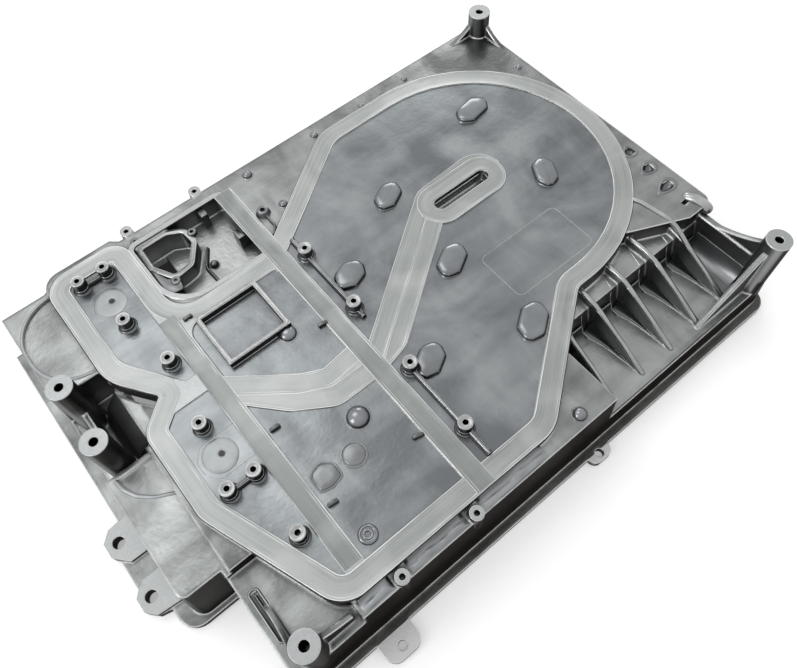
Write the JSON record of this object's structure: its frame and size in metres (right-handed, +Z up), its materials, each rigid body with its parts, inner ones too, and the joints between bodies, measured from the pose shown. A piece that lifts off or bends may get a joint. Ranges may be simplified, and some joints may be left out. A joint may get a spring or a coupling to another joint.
{
  "type": "liquid cooling plate",
  "caption": "Die-cast aluminium tray with a welded-in channel cover; weld bands, threaded posts, side ribs and lugs around a flat cooling deck.",
  "frame": {"origin": "middle of the enclosing box, on the plane of the bottom flange", "axes": "+X along the long side towards the round end of the channel, +Y across, +Z up through the deck"},
  "size_m": [0.52, 0.391, 0.09],
  "materials": {
    "casting": "as cast, bands milled",
    "cover": "as cast, bands milled",
    "pipe": "drawn"
  },
  "bodies": {
    "root": {"housing_casting": "casting", "channel_cover": "cover", "inlet_pipe": "pipe", "outlet_pipe": "pipe"}
  },
  "joints": []
}
